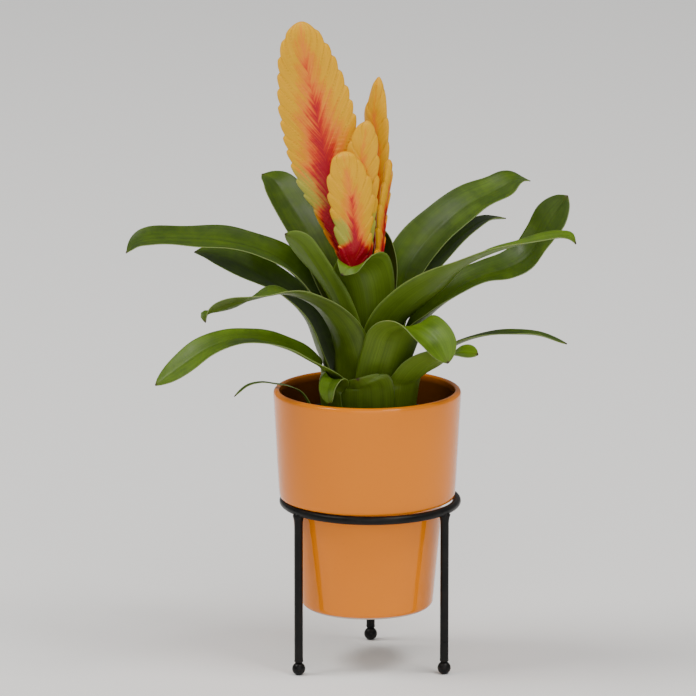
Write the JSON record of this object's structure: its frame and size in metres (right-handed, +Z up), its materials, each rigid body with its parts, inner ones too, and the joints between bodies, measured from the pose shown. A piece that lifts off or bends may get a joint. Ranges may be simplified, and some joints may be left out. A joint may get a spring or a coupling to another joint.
{
  "type": "potted bromeliad",
  "caption": "Bromeliad with strap leaves and flat flower spikes, in a tapered glazed pot that rests in a three-legged black wire ring stand.",
  "frame": {"origin": "on the floor, under the middle of the plant's spread and of the pot's depth", "axes": "+Z up, +X to the plant's right as seen from its front, and the front, with the two near feet, faces -Y"},
  "size_m": [0.3116, 0.1398, 0.455],
  "materials": {
    "leaf": "satin",
    "grass": "satin",
    "bract": "satin",
    "stem": "satin",
    "glaze": "gloss",
    "black_paint": "satin",
    "black_plastic": "matte",
    "soil": "matte"
  },
  "bodies": {
    "root": {"leaf_tank_front": "leaf", "leaf_back_right": "leaf", "leaf_left_short": "leaf", "leaf_back_left": "leaf", "leaf_right_light": "leaf", "leaf_upper_right": "leaf", "leaf_left_long": "leaf", "leaf_upper_right_under": "leaf", "leaf_left_arching": "leaf", "leaf_right_upturned": "leaf", "leaf_left_shaded": "leaf", "leaf_front_big": "leaf", "leaf_right_thin": "leaf", "leaf_lower_left": "leaf", "leaf_lower_right": "leaf", "leaf_left_curled": "leaf", "leaf_front_short": "leaf", "leaf_grass_blade": "grass", "spike_main": "bract", "spike_front": "bract", "spike_middle": "bract", "spike_tall": "bract", "spike_right": "bract", "spike_bud": "bract", "spike_left": "bract", "flower_stem": "stem", "ceramic_pot": "glaze", "grow_pot": "black_plastic", "potting_soil": "soil", "stand_ring": "black_paint", "stand_leg_left": "black_paint", "stand_leg_right": "black_paint", "stand_leg_rear": "black_paint", "foot_ball_left": "black_paint", "foot_ball_right": "black_paint", "foot_ball_rear": "black_paint"}
  },
  "joints": []
}
